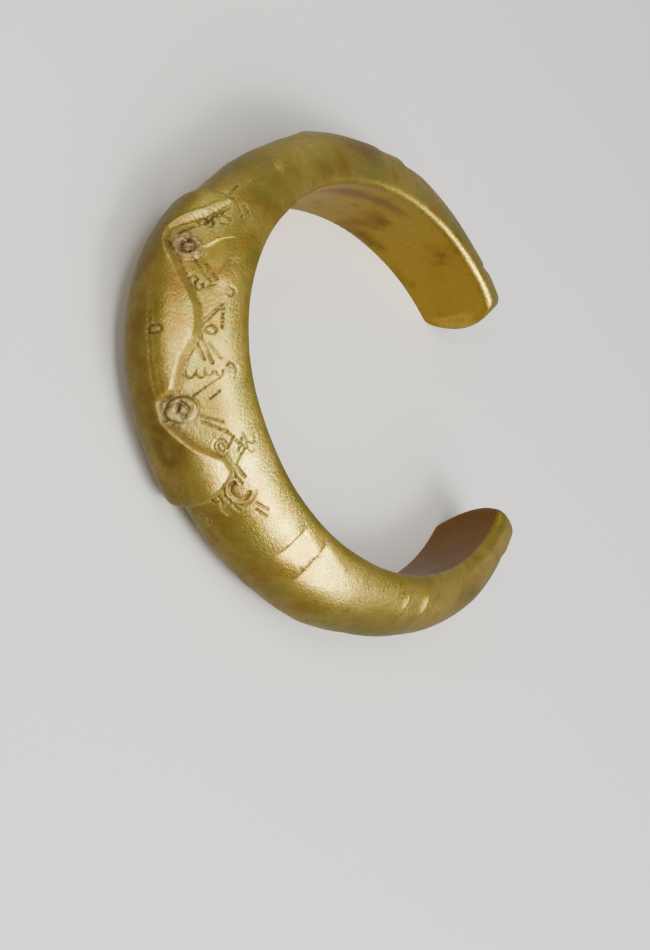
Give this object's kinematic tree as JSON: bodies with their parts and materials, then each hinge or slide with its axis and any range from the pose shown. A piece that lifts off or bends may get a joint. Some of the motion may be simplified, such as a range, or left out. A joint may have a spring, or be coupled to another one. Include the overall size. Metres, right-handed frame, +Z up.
{
  "type": "bronze bangle",
  "caption": "Open C-shaped cast bronze bangle of D section, with a lobed crest, ring bosses, stepped facets and collared terminals, worn and patinated.",
  "frame": {"origin": "centre of the bounding box in plan, at the surface that the bangle lies on", "axes": "+Z up along the wrist opening, +X towards the mouth of the C, -X towards the crest"},
  "size_m": [0.0882, 0.0832, 0.0189],
  "materials": {
    "bronze": "worn polished cast bronze with brown patina in the hollows"
  },
  "bodies": {
    "root": {"bangle": "bronze"}
  },
  "joints": []
}
